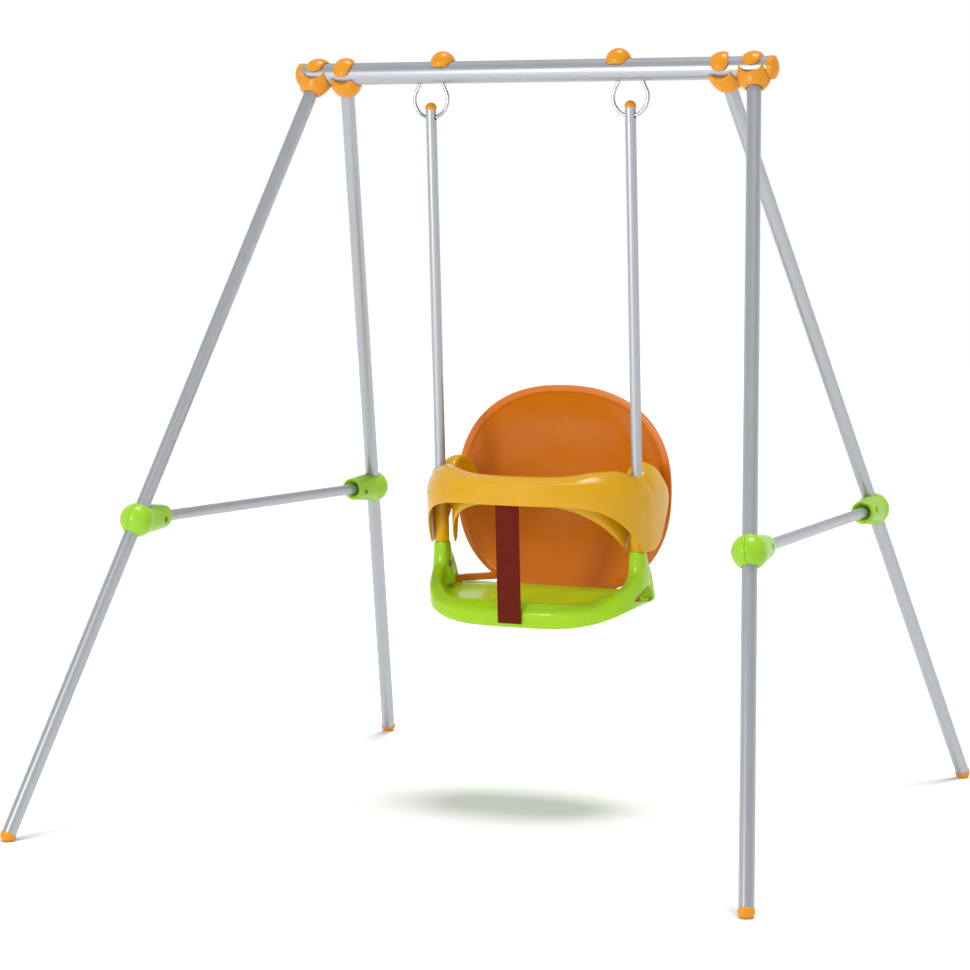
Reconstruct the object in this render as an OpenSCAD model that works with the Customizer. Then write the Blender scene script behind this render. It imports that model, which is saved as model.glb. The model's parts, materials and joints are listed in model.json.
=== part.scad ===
// Toddler swing set: an A-frame of tubes with a bucket seat hanging on two rigid rods.
// Origin on the ground under the middle of the top bar, +X along the bar, -Y where the child faces.

/* [Frame] */
// Height of the top bar's axis above the ground
bar_z = 1166; // [1000:1:1300]
// Length of the top bar's tube, without its end caps
bar_len = 794; // [760:1:900]
// Outer diameter of the top bar
bar_d = 35; // [33:0.5:38]
// Distance of the front legs' hubs from the middle of the bar
hub_x_front = 373; // [360:1:380]
// Distance of the rear legs' hubs from the middle of the bar
hub_x_rear = 323; // [300:1:325]
// How far each foot stands out sideways from its hub
splay = 221; // [180:1:260]
// Distance of the feet from the bar's plane, to the front and to the rear
foot_y = 587; // [500:1:650]
// Outer diameter of the legs
leg_d = 22; // [20:0.5:25]
// Height of the braces between a front leg and a rear leg
brace_z = 470; // [350:1:600]
// Outer diameter of the braces
brace_d = 17; // [15:0.5:19]

/* [Hooks and rods] */
// Distance of the rods and hook loops from the middle of the bar
rod_x = 171; // [168:1:173]
// Diameter of the hook wire
wire_d = 5.5; // [5:0.1:6]
// Radius of the hook loop, to the wire's axis
loop_r = 29; // [27:0.5:31]
// Drop from the bar's axis to the wire's axis at the bottom of the loop
loop_drop = 71; // [68:1:75]
// Outer diameter of the swing rods
rod_d = 17; // [16:0.5:18]
// Length of a rod below the loop
rod_len = 735; // [730:1:740]
// Angle at which the rods hang at rest, seat to the rear
hang_tilt = 3.7; // [0:0.1:5]

/* [Seat] */
// Half of the seat's width
seat_a = 182; // [180:1:184]
// Front of the seat, ahead of the rods
seat_front = 114; // [110:1:118]
// Back of the seat, behind the rods
seat_back = 112; // [105:1:120]
// Level of the seat's lowest edge below the loops
seat_low = 792; // [788:1:796]
// Level of the post tops below the loops
post_top = 680; // [678:1:682]
// Outer diameter of the seat posts and the guard's columns
post_d = 23; // [22:0.5:25]
// Thickness of the moulded walls
wall = 3; // [2.5:0.1:3.5]

/* [Guard and backrest] */
// Half of the guard's width
guard_a = 191; // [188:1:194]
// Front of the guard, ahead of the rods
guard_front = 122; // [121:1:125]
// Half of the backrest's width
back_a = 189; // [180:1:190]
// Half of the backrest's height
back_h = 170; // [160:1:170]
// Width of the crotch strap
strap_w = 40; // [30:1:45]

/* [Hidden] */
$fn = 64;

silver = [0.72, 0.74, 0.77];
steel = [0.86, 0.87, 0.88];
orange = [0.93, 0.50, 0.08];
amber = [0.90, 0.62, 0.10];
green = [0.60, 0.80, 0.12];
coral = [0.90, 0.40, 0.07];
maroon = [0.45, 0.10, 0.06];

// Clearance of parts that fit together and stay put, on the radius
fit = 0.05;
// Clearance of the guard's columns on the rods, on the radius
run = 0.08;
tube_wall = 1.5;
eps = 0.01;

leg_len = norm([splay, foot_y, bar_z]);
lean = atan2(foot_y, bar_z);
splay_angle = asin(splay / leg_len);
// Where a leg's tube starts below the bar's axis, and the radii of a hub's ball and of its cap
leg_start = 26;
hub_r = 24.6;
hub_cap_r = 26.6;
// Groove between a hub's shells and its cap: level of its middle, and its two radii
groove_z = 14.7;
groove_in = 17;
groove_out = 23.7;
// Foot cap: radius of its ball, depth of the flat it stands on, and height below the tube
foot_r = 12.3;
foot_flat = 2;
foot_h = 13;
// End cap of the bar: its diameter, and how far its plug reaches into the tube, short of the bolts
bar_cap_d = bar_d + 1.4;
cap_plug = 16;
bolt_d = 6;
bolt_head_d = 11;
bolt_head_h = 4;
bolt_len = 62;

// Brace ends on the legs
brace_t = (bar_z - brace_z) / bar_z;
brace_span = norm(brace_end(1, 1) - brace_end(1, -1));
brace_gap = 17;
joint_r = 26.3;
joint_reach = 72;
screw_d = 5;
screw_at = 52;

// Hook geometry in the plane of the loop
pivot_z = bar_z - loop_drop;
loop_z = bar_z - loop_drop + loop_r;
shank_x = 20.5;
// Level of the wire's elbows, just under the bar
under_z = bar_z - bar_d / 2 - 1;
reach_up = under_z - loop_z;
tangent_angle = atan2(reach_up, shank_x) - acos(loop_r / norm([shank_x, reach_up]));
hook_cap_r = 20.5;
hook_cap_z = 13;

rod_top = 13.4;
rod_eye_d = 8.5;
seat_mid = 30;
// Top of the pan, of the trough behind it that holds the backrest's rim, and of the trough's rear wall
floor_z = -754;
trough_z = -776;
rear_z = -762;
trough_y = 77;
guard_mid = 45;
guard_depth = 40;
guard_top = -538;
strap_y = -117;
strap_pin_y = strap_y + 4.05;
strap_top = -600;
strap_len = 184;
strap_t = 2;

// Where a brace meets the leg at this side and end
function brace_end(side, end) = [side * ((end < 0 ? hub_x_front : hub_x_rear) + brace_t * splay),
    end * brace_t * foot_y, brace_z];

// Unit vector up along a leg, and from its brace's end to the other end
function leg_up(side, end) = [-side * splay, -end * foot_y, bar_z] / leg_len;
function brace_dir(side, end) = (brace_end(side, -end) - brace_end(side, end)) / brace_span;

// Closed outline with superellipse quarters: half-width a, front depth f and rear depth b about y = m,
// and the exponents of its front and rear
function outline(a, f, b, m, nf, nb, steps = 64) = [for (i = [0:steps - 1])
    let (c = cos(360 * i / steps), s = sin(360 * i / steps), d = s < 0 ? f : b, n = s < 0 ? nf : nb)
    [a * sign(c) * pow(abs(c), 2 / n), m + d * sign(s) * pow(abs(s), 2 / n)]];

// Points of an ellipse's arc about [cx, cy]
function arc(cx, cy, rx, ry, from, to, steps = 8) = [for (i = [0:steps])
    let (t = from + (to - from) * i / steps) [cx + rx * cos(t), cy + ry * sin(t)]];

module mirrored(side) {
    mirror([side < 0 ? 1 : 0, 0, 0]) children();
}

// Frame at a hub of the right-hand side: x along the bar, the leg in the xz plane
module at_hub(end) {
    translate([end < 0 ? hub_x_front : hub_x_rear, 0, bar_z]) rotate([end * lean, 0, 0]) children();
}

// Frame at a hub with z up along the leg's axis
module along_leg(end) {
    at_hub(end) rotate([0, -splay_angle, 0]) children();
}

module tube(d, len, t = tube_wall) {
    difference() {
        cylinder(d = d, h = len);
        translate([0, 0, -1]) cylinder(d = d - 2 * t, h = len + 2);
    }
}

module along_x() {
    rotate([0, 90, 0]) children();
}

module bar_space(grow) {
    translate([-60, 0, 0]) along_x() cylinder(d = bar_d + 2 * grow, h = 120);
}

// ---- top bar ----

module top_bar() {
    color(silver) difference() {
        translate([-bar_len / 2, 0, bar_z]) along_x() tube(bar_d, bar_len);
        for (side = [-1, 1], end = [-1, 1]) mirrored(side) along_leg(end)
            translate([0, 0, -30]) cylinder(d = bolt_d + 0.4, h = 60);
        for (side = [-1, 1]) mirrored(side) {
            translate([rod_x - shank_x, 0, bar_z - 30]) cylinder(d = wire_d + 0.4, h = 60);
            translate([rod_x + shank_x, 0, bar_z - 30]) cylinder(d = wire_d + 0.4, h = 25);
        }
    }
}

module bar_end_cap(side) {
    color(orange) mirrored(side) translate([bar_len / 2, 0, bar_z]) along_x() {
        cylinder(d = bar_cap_d, h = 6);
        intersection() {
            translate([0, 0, -14]) sphere(r = 28.8);
            cylinder(d = bar_cap_d, h = 14.8);
        }
        translate([0, 0, -cap_plug]) tube(bar_d - 2 * tube_wall - 2 * fit, cap_plug + 0.5, 2);
    }
}

// ---- legs, hubs and feet ----

module leg(side, end) {
    color(silver) mirrored(side) along_leg(end)
        translate([0, 0, -leg_len + foot_h]) tube(leg_d, leg_len - foot_h - leg_start);
}

// Round bar across the leg, from front to rear
module groove(radius) {
    translate([0, 0, groove_z]) rotate([90, 0, 0]) cylinder(r = radius, h = 4 * hub_r, center = true);
}

// The whole saddle under the bar, before it is split into two shells
module hub_saddle(end) {
    difference() {
        union() {
            at_hub(end) sphere(r = hub_r);
            along_leg(end) translate([0, 0, -36]) cylinder(r1 = 14.6, r2 = 22.6, h = 26);
            along_leg(end) translate([0, 0, -56]) cylinder(d = leg_d - 2 * tube_wall - 2 * fit, h = 40);
        }
        at_hub(end) bar_space(fit);
        along_leg(end) {
            groove(groove_out);
            translate([0, 0, -70]) cylinder(d = bolt_d + 2 * fit, h = 70);
            translate([0, 0, -57]) tube(leg_d + 2 * fit, 57 - leg_start + fit, tube_wall + 2 * fit);
        }
    }
}

module hub_shell(side, end, half) {
    color(orange) mirrored(side) intersection() {
        hub_saddle(end);
        at_hub(end) translate([-60, half < 0 ? -60 : 0, -80]) cube([120, 60, 140]);
    }
}

module hub_cap(side, end) {
    color(orange) mirrored(side) difference() {
        along_leg(end) intersection() {
            sphere(r = hub_cap_r);
            groove(groove_in);
        }
        at_hub(end) bar_space(fit);
        along_leg(end) cylinder(d = bolt_head_d + 2, h = bar_d / 2 + bolt_head_h + 1);
    }
}

module hub_bolts() {
    color(steel) for (side = [-1, 1], end = [-1, 1]) mirrored(side) difference() {
        along_leg(end) {
            translate([0, 0, bar_d / 2 + bolt_head_h - bolt_len - 22]) cylinder(d = bolt_d, h = bolt_len + 20);
            cylinder(d = bolt_head_d, h = bar_d / 2 + bolt_head_h);
        }
        // The head's underside and the shank's middle follow the bar's outside
        difference() {
            at_hub(end) bar_space(fit);
            along_leg(end) translate([0, 0, -30]) cylinder(d = bolt_d, h = 60);
        }
    }
}

module hub_nuts() {
    color(steel) for (side = [-1, 1], end = [-1, 1]) mirrored(side) along_leg(end)
        translate([0, 0, -62]) difference() {
            union() {
                cylinder(d = 11, h = 5, $fn = 6);
                translate([0, 0, 5]) cylinder(d = 14, h = 1);
            }
            translate([0, 0, -1]) cylinder(d = bolt_d + 2 * fit, h = 8);
        }
}

module foot_cap(side, end) {
    color(orange) mirrored(side) intersection() {
        along_leg(end) translate([0, 0, -leg_len]) {
            intersection() {
                translate([0, 0, foot_r - foot_flat]) {
                    sphere(r = foot_r);
                    cylinder(r = foot_r, h = foot_h);
                }
                translate([0, 0, -foot_flat]) cylinder(d = 3 * foot_r, h = foot_flat + foot_h);
            }
            translate([0, 0, foot_h - 0.5]) cylinder(d = leg_d - 2 * tube_wall - 2 * fit, h = 24);
        }
        translate([0, -1000, 0]) cube([1000, 2000, 200]);
    }
}

// ---- braces and their joints ----

// Frame at a brace's end: x along the brace, the leg's axis in the xz plane
module at_brace(side, end) {
    way = brace_dir(side, end);
    turn = atan2(way[1], way[0]);
    up = leg_up(side, end);
    across = -up[0] * sin(turn) + up[1] * cos(turn);
    translate(brace_end(side, end)) rotate([0, 0, turn]) rotate([atan2(-across, up[2]), 0, 0]) children();
}

module brace(side) {
    color(silver) difference() {
        at_brace(side, -1) translate([brace_gap, 0, 0]) along_x() tube(brace_d, brace_span - 2 * brace_gap, 1.2);
        for (end = [-1, 1]) at_brace(side, end)
            translate([screw_at, -20, 0]) rotate([-90, 0, 0]) cylinder(d = screw_d + 0.4, h = 40);
    }
}

// One half of the shell round a brace's end: face is 1 for the half away from the set, -1 for the other
module joint_shell(side, end, face) {
    leg_angle = asin(leg_up(side, end) * brace_dir(side, end));
    color(green) at_brace(side, end) intersection() {
        difference() {
            union() {
                rotate([90, 0, 0]) sphere(r = joint_r);
                translate([9, 0, 0]) along_x() cylinder(r1 = 24, r2 = 18.2, h = joint_reach - 9);
            }
            rotate([0, leg_angle, 0]) translate([0, 0, -60]) cylinder(d = leg_d + 2 * fit, h = 120);
            translate([brace_gap - 1, 0, 0]) along_x() cylinder(d = brace_d + 2 * fit, h = 90);
            translate([joint_reach - 14, 0, 0]) along_x() cylinder(r1 = brace_d / 2, r2 = 15.8, h = 14 + eps);
            // Slanted mouth, longer above than below
            translate([joint_reach - 2, -40, 0]) rotate([0, 14, 0]) translate([0, 0, -80]) cube([60, 80, 160]);
            translate([screw_at, -30, 0]) rotate([-90, 0, 0]) cylinder(d = screw_d + 2 * fit, h = 60);
            for (y = [-30, 14]) translate([screw_at, y, 0]) rotate([-90, 0, 0]) cylinder(d = 9.6, h = 16);
        }
        translate([-60, face * side * end > 0 ? 0 : -60, -60]) cube([200, 60, 120]);
    }
}

module brace_screws() {
    color(steel) for (side = [-1, 1], end = [-1, 1]) at_brace(side, end)
        translate([screw_at, 0, 0]) rotate([-90, 0, 0]) {
            translate([0, 0, -14]) cylinder(d = screw_d, h = 28);
            translate([0, 0, -16.5]) difference() {
                cylinder(d = 9, h = 2.5);
                translate([0, 0, -1]) cylinder(d = 4, h = 2.5, $fn = 6);
            }
            translate([0, 0, 14]) cylinder(d = 9, h = 2.5);
        }
}

// ---- hooks ----

module hook(side) {
    color(steel) mirrored(side) translate([rod_x, 0, loop_z]) {
        rotate([90, 0, 0]) rotate([0, 0, 180 - tangent_angle])
            rotate_extrude(angle = 180 + 2 * tangent_angle) translate([loop_r, 0]) circle(d = wire_d);
        for (s = [-1, 1]) {
            rise = norm([shank_x, reach_up]) * sin(acos(loop_r / norm([shank_x, reach_up])));
            translate([s * loop_r * cos(tangent_angle), 0, loop_r * sin(tangent_angle)])
                rotate([0, -s * tangent_angle, 0]) translate([0, 0, -0.5]) cylinder(d = wire_d - 0.04, h = rise + 0.5);
            translate([s * shank_x, 0, reach_up]) sphere(d = wire_d + 0.06);
            translate([s * shank_x, 0, reach_up]) cylinder(d = wire_d - 0.04, h = s > 0 ? 10 : bar_d + 10);
        }
    }
}

module hook_nuts() {
    color(steel) for (side = [-1, 1]) mirrored(side)
        translate([rod_x - shank_x, 0, bar_z + bar_d / 2]) difference() {
            union() {
                translate([0, 0, fit]) cylinder(d = 12, h = 1.2);
                translate([0, 0, 1.2]) cylinder(d = 10.5, h = 5, $fn = 6);
            }
            translate([0, 0, -1]) cylinder(d = wire_d + 2 * fit, h = 10);
        }
}

module hook_cap(side) {
    color(orange) mirrored(side) translate([rod_x - shank_x, 0, bar_z]) difference() {
        translate([0, 0, hook_cap_z]) sphere(r = hook_cap_r);
        bar_space(fit);
        translate([-30, -30, -40]) cube([60, 60, 48.5]);
        cylinder(d = 13.5, h = bar_d / 2 + 10.5);
    }
}

// ---- swing: everything below hangs on the loops ----

module hanging() {
    translate([0, 0, pivot_z]) rotate([hang_tilt, 0, 0]) children();
}

module swing_rod(side) {
    color(silver) mirrored(side) hanging() translate([rod_x, 0, 0]) difference() {
        translate([0, 0, -rod_len]) tube(rod_d, rod_len + rod_top, 1.2);
        translate([-15, 0, 0]) along_x() cylinder(d = rod_eye_d, h = 30);
        translate([-15, 0, -716]) along_x() cylinder(d = screw_d + 0.4, h = 15);
    }
}

module rod_cap(side) {
    color(orange) mirrored(side) hanging() translate([rod_x, 0, rod_top]) {
        intersection() {
            translate([0, 0, 1.2]) sphere(r = 9.6);
            cylinder(r = 9.3, h = 20);
        }
        translate([0, 0, -8]) cylinder(d = rod_d - 2.4 - 2 * fit, h = 8.5);
    }
}

// Level of the lip along a side, from the post to the front: a quick fall, then nearly flat
function lip_z(y) = let (u = min(1, (-post_d / 2 - y) / lip_run))
    -post_top - 5 - lip_drop * pow(1 - pow(1 - u, 2.7), 1 / 2.7) - lip_dip * u * u;
lip_run = seat_front - post_d / 2;
lip_drop = 62;
lip_dip = 9;
lip_w = 22;
lip_t = 3.5;

// Side view of the seat: front lip, sweep up to the post, gusset and rear tray
function seat_side() = concat(
    [[-seat_front - 1, -820], [-seat_front - 1, lip_z(-seat_front)]],
    [for (i = [0:18]) let (y = -post_d / 2 - lip_run * pow(1 - i / 18, 2.5)) [y, lip_z(y)]],
    [[-post_d / 2, -post_top], [post_d / 2, -post_top], [15, -690], [27, -709], [39, -733], [45, -750],
        [47, floor_z], [trough_y, floor_z], [trough_y, rear_z], [seat_back + 1, rear_z], [seat_back + 1, -820]]);

// Levels of the seat's lower edge and of the trough, which rise towards the sides
function edge_z(x) = -seat_low + 30 * pow(abs(x) / (seat_a + 1), 4);
function pan_z(x) = max(trough_z, edge_z(x) + 8);

seat_xs = [for (i = [-16:16]) (seat_a + 1) * i / 16];

// Front views: everything above the lower edge, and the spaces above and below the trough
function seat_face() = concat([[-seat_a - 1, -600]], [for (x = seat_xs) [x, edge_z(x)]], [[seat_a + 1, -600]]);
function over_trough() = concat([[-seat_a - 1, -600]], [for (x = seat_xs) [x, pan_z(x)]], [[seat_a + 1, -600]]);
function under_trough() = concat([[-seat_a - 1, -830]], [for (x = seat_xs) [x, pan_z(x) - wall]], [[seat_a + 1, -830]]);

// Side view of the pan with its step down to the trough, from above and from below
function pan_side() = [[-200, floor_z], [trough_y, floor_z], [trough_y, trough_z], [200, trough_z]];
function pan_under() = [for (p = pan_side()) [p[0] == trough_y ? trough_y - wall : p[0], p[1] - wall]];

// Extrudes a side view given in the yz plane across the whole width
module across_x(points) {
    rotate([90, 0, 90]) translate([0, 0, -300]) linear_extrude(600) polygon(points);
}

module across_y(points) {
    rotate([90, 0, 0]) translate([0, 0, -300]) linear_extrude(600) polygon(points);
}

module seat_plan(inset, low, high) {
    translate([0, 0, low]) linear_extrude(high - low)
        polygon(outline(seat_a - inset, seat_mid + seat_front - inset, seat_back - seat_mid - inset, seat_mid, 3, 2.3));
}

// Broad lip that runs along the front edge and up the sides, as a skin
module seat_lip() {
    difference() {
        intersection() {
            seat_plan(0, -790, -post_top);
            across_x(seat_side());
            translate([-200, -200, -800]) cube([400, 200, 200]);
        }
        seat_plan(lip_w, -800, -600);
        translate([0, lip_t, -lip_t]) across_x(seat_side());
    }
}

module seat() {
    color(green) hanging() difference() {
        union() {
            difference() {
                intersection() {
                    seat_plan(0, -800, -post_top);
                    across_x(seat_side());
                    across_y(seat_face());
                }
                intersection() {
                    seat_plan(wall, -790, -600);
                    across_y(over_trough());
                    across_x(concat(pan_side(), [[200, -600], [-200, -600]]));
                }
                intersection() {
                    seat_plan(wall, -820, -700);
                    union() {
                        across_y(under_trough());
                        across_x(concat(pan_under(), [[200, -830], [-200, -830]]));
                    }
                }
            }
            seat_lip();
            for (s = [-1, 1]) translate([s * rod_x, 0, -738.5]) cylinder(d = post_d, h = 738.5 - post_top);
        }
        for (s = [-1, 1]) {
            translate([s * rod_x, 0, -rod_len - 0.2]) cylinder(d = rod_d + 2 * fit, h = 100);
            // Arched window in each gusset
            translate([s * seat_a - 9, 0, 0]) rotate([90, 0, 90]) linear_extrude(18)
                polygon([[-30, -753], [-8, -742], [4, -736.5], [14, -735.5], [24, -742], [31, -753]]);
            translate([s * rod_x, 0, -716]) rotate([0, -s * 90, 0]) cylinder(d = screw_d + 2 * fit, h = 20);
        }
        // Seat of the strap's stud
        translate([0, -seat_front - 1, -775]) rotate([-90, 0, 0]) cylinder(d = 14 + 2 * fit, h = 20);
    }
}

module seat_screws() {
    color(steel) hanging() for (s = [-1, 1]) translate([s * rod_x, 0, -716]) rotate([0, -s * 90, 0]) {
        cylinder(d = screw_d, h = 12);
        translate([0, 0, 12]) cylinder(d = 9, h = 2.5);
    }
}

// ---- backrest: an oval dish, its rim towards the child ----

back_rings = 7;
back_steps = 36;
back_y = 98;
back_z = -605;
back_lean = 6;
back_depth = 50;

function back_point(ring, i, off) = let (
    p = ring / back_rings,
    c = cos(360 * i / back_steps),
    s = sin(360 * i / back_steps),
    x = back_a * p * sign(c) * pow(abs(c), 2 / 2.3),
    z = back_h * p * sign(s) * pow(abs(s), 2 / 2.3))
    [x, back_y + z * tan(back_lean) + back_depth * (1 - pow(p, 2.6)) + off, back_z + z];

function back_points(off) = [for (ring = [1:back_rings], i = [0:back_steps - 1]) back_point(ring, i, off)];

module backrest() {
    n = back_steps;
    half = n * back_rings;
    front_mid = 2 * half;
    rear_mid = front_mid + 1;
    quads = concat(
        [for (r = [0:back_rings - 2], i = [0:n - 1]) let (j = (i + 1) % n)
            [r * n + i, (r + 1) * n + i, (r + 1) * n + j, r * n + j]],
        [for (r = [0:back_rings - 2], i = [0:n - 1]) let (j = (i + 1) % n)
            [half + r * n + i, half + r * n + j, half + (r + 1) * n + j, half + (r + 1) * n + i]],
        [for (i = [0:n - 1]) let (j = (i + 1) % n, a = (back_rings - 1) * n)
            [a + i, half + a + i, half + a + j, a + j]]);
    faces = concat(
        [for (i = [0:n - 1]) [front_mid, (i + 1) % n, i]],
        [for (i = [0:n - 1]) [rear_mid, half + i, half + (i + 1) % n]],
        [for (q = quads) [q[0], q[2], q[1]]],
        [for (q = quads) [q[0], q[3], q[2]]]);
    color(coral) hanging() {
        polyhedron(concat(back_points(0), back_points(wall + 1),
            [[0, back_y + back_depth, back_z], [0, back_y + back_depth + wall + 1, back_z]]), faces);
        // Lugs that hook into the seat's gussets
        for (s = [-1, 1]) mirrored(s) translate([0, 0, -752]) linear_extrude(11)
            polygon([[96, 97], [96, 86], [148, 48], [160, 36], [160, -22], [167, -22], [167, 40], [156, 54]]);
    }
}

// ---- guard: an inverted channel in a U, sliding on the rods ----

function guard_top_edge() = concat(
    [[-guard_front - 1, -551], [-guard_front + 12, -550], [-30, -546], [10, -541], [40, guard_top]],
    arc(40, -601, 55, 601 + guard_top, 90, -15));

function guard_side() = concat(
    guard_top_edge(),
    [[72, -640], [42, -post_top], [-post_d / 2, -post_top], [-18, -668], [-30, -653], [-50, -633],
        [-70, -618], [-91, -606], [-112, -598.5], [-guard_front - 1, -597]]);

module guard_ring(outer, inner) {
    difference() {
        guard_plan(outer, -720, -500);
        guard_plan(inner, -730, -490);
    }
}

module guard_plan(inset, low, high) {
    translate([0, 0, low]) linear_extrude(high - low)
        polygon(outline(guard_a - inset, guard_mid + guard_front - inset, 160 - inset, guard_mid, 2.5, 2.5));
}

module guard() {
    color(amber) hanging() difference() {
        union() {
            difference() {
                intersection() {
                    guard_ring(0, guard_depth);
                    across_x(guard_side());
                }
                intersection() {
                    guard_ring(wall, guard_depth - wall);
                    translate([0, -wall, -wall]) across_x(concat(guard_top_edge(),
                        [[92, -760], [-guard_front - 1, -760]]));
                }
            }
            for (s = [-1, 1]) translate([s * rod_x, 0, -post_top + fit])
                cylinder(d = post_d, h = post_top - fit - 545);
            // Bosses that hold the strap's pin
            for (s = [-1, 1]) translate([s * 27 - 3, -guard_front + 1, -592]) cube([6, guard_depth - 2, 44]);
        }
        for (s = [-1, 1]) translate([s * rod_x, 0, -720]) cylinder(d = rod_d + 2 * run, h = 240);
        translate([-35, strap_pin_y, -576]) along_x() cylinder(d = 6 + 2 * fit, h = 70);
    }
}

// ---- crotch strap ----

module strap_pin() {
    color(steel) hanging() translate([-32, strap_pin_y, -576]) along_x() cylinder(d = 6, h = 64);
}

// The stretch of webbing inside the guard, round its pin
module strap_anchor() {
    color(maroon) hanging() translate([-strap_w / 2, 0, 0]) {
        difference() {
            translate([0, strap_pin_y, -576]) along_x() cylinder(r = 3 + fit + strap_t, h = strap_w);
            translate([-1, strap_pin_y, -576]) along_x() cylinder(r = 3 + fit, h = strap_w + 2);
        }
        translate([0, strap_y - strap_t / 2, -598.7]) cube([strap_w, strap_t, 22.7]);
    }
}

module strap() {
    color(maroon) hanging() translate([-strap_w / 2, strap_y, strap_top]) {
        along_x() cylinder(d = strap_t, h = strap_w);
        translate([0, -strap_t / 2, -strap_len]) cube([strap_w, strap_t, strap_len]);
    }
}

module strap_snap() {
    color(steel) hanging() translate([0, strap_y + strap_t / 2 + eps, -775]) rotate([-90, 0, 0])
        cylinder(d = 12, h = 1.85);
}

module strap_stud() {
    color(steel) hanging() translate([0, -seat_front + 0.1, -775]) rotate([-90, 0, 0]) cylinder(d = 14, h = 4);
}

top_bar();
bar_end_cap(-1);  // bar_end_cap_left
bar_end_cap(1);  // bar_end_cap_right
leg(-1, -1);  // leg_front_left
leg(1, -1);  // leg_front_right
leg(-1, 1);  // leg_rear_left
leg(1, 1);  // leg_rear_right
hub_shell(-1, -1, -1);  // hub_shell_a_front_left
hub_shell(-1, -1, 1);  // hub_shell_b_front_left
hub_cap(-1, -1);  // hub_cap_front_left
foot_cap(-1, -1);  // foot_cap_front_left
joint_shell(-1, -1, 1);  // joint_outer_front_left
joint_shell(-1, -1, -1);  // joint_inner_front_left
hub_shell(1, -1, -1);  // hub_shell_a_front_right
hub_shell(1, -1, 1);  // hub_shell_b_front_right
hub_cap(1, -1);  // hub_cap_front_right
foot_cap(1, -1);  // foot_cap_front_right
joint_shell(1, -1, 1);  // joint_outer_front_right
joint_shell(1, -1, -1);  // joint_inner_front_right
hub_shell(-1, 1, -1);  // hub_shell_a_rear_left
hub_shell(-1, 1, 1);  // hub_shell_b_rear_left
hub_cap(-1, 1);  // hub_cap_rear_left
foot_cap(-1, 1);  // foot_cap_rear_left
joint_shell(-1, 1, 1);  // joint_outer_rear_left
joint_shell(-1, 1, -1);  // joint_inner_rear_left
hub_shell(1, 1, -1);  // hub_shell_a_rear_right
hub_shell(1, 1, 1);  // hub_shell_b_rear_right
hub_cap(1, 1);  // hub_cap_rear_right
foot_cap(1, 1);  // foot_cap_rear_right
joint_shell(1, 1, 1);  // joint_outer_rear_right
joint_shell(1, 1, -1);  // joint_inner_rear_right
hub_bolts();
hub_nuts();
brace(-1);  // brace_left
hook(-1);  // hook_left
hook_cap(-1);  // hook_cap_left
swing_rod(-1);  // swing_rod_left
rod_cap(-1);  // rod_cap_left
brace(1);  // brace_right
hook(1);  // hook_right
hook_cap(1);  // hook_cap_right
swing_rod(1);  // swing_rod_right
rod_cap(1);  // rod_cap_right
brace_screws();
hook_nuts();
seat();
seat_screws();
backrest();
guard();
strap_pin();
strap_anchor();
strap();
strap_snap();
strap_stud();
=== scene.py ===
"""Toddler swing set: the looks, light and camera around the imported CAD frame."""

import json
import math

import bmesh
import bpy
import numpy as np
from mathutils import Matrix, Vector


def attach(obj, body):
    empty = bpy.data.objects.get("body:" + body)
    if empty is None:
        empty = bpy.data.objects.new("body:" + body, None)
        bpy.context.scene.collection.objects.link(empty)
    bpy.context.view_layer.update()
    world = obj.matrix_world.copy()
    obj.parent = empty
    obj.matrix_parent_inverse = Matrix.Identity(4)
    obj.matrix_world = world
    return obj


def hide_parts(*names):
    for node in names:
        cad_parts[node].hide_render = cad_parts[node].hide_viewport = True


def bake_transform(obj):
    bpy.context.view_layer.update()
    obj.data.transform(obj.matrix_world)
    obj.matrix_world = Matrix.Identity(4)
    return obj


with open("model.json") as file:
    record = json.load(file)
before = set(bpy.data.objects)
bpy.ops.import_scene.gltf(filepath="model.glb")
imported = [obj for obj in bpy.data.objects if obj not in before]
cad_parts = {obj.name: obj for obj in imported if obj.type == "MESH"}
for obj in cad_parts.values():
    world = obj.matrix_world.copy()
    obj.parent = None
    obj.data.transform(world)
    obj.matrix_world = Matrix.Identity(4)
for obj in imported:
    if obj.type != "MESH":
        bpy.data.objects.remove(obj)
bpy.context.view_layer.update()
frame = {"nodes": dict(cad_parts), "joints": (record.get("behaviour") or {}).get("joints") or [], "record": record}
NODES = frame["nodes"]
JOINTS = {j["name"]: j for j in frame["joints"]}

MM = 0.001
TILT = math.atan2(-JOINTS["guard_slide"]["axis"][1], JOINTS["guard_slide"]["axis"][2])
# From the hanging parts' own frame in millimetres, z up along the rods, to the set's frame
HANG = Matrix.Translation(Vector(JOINTS["swing_hinge"]["pos_m"])) @ Matrix.Rotation(TILT, 4, "X") \
    @ Matrix.Scale(MM, 4)


# ---- camera, light and floor ----

CAMERA_AT = Vector((2.0846, -4.5841, 0.957))
CAMERA_TURN = math.radians(25.22)
CAMERA_PITCH = math.radians(-4.99)
CAMERA_ROLL = math.radians(0.21)
CAMERA_LENS = 118.83
SENSOR = 36.0
FAR_CLIP = 100.0

# Brightness of the surroundings near the horizon, which the camera sees, and overhead,
# and the heights, as the sine of the angle above level, between which one turns into the other
HORIZON = 1.0
OVERHEAD = 0.5
HORIZON_TO = 0.12
OVERHEAD_FROM = 0.45
SUN_ENERGY = 2.2
SUN_ANGLE = math.radians(24)
SUN_WAY = (-0.08, -0.09, -1.0)
FRONT_AT, FRONT_AIM = (-1.0, -3.7, 1.35), (0.0, 0.0, 0.75)
FRONT_SIZE = (0.7, 1.3)
FRONT_POWER = 46
FLOOR_HALF = 14.0
FLOOR_WHITE = 0.92


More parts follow.
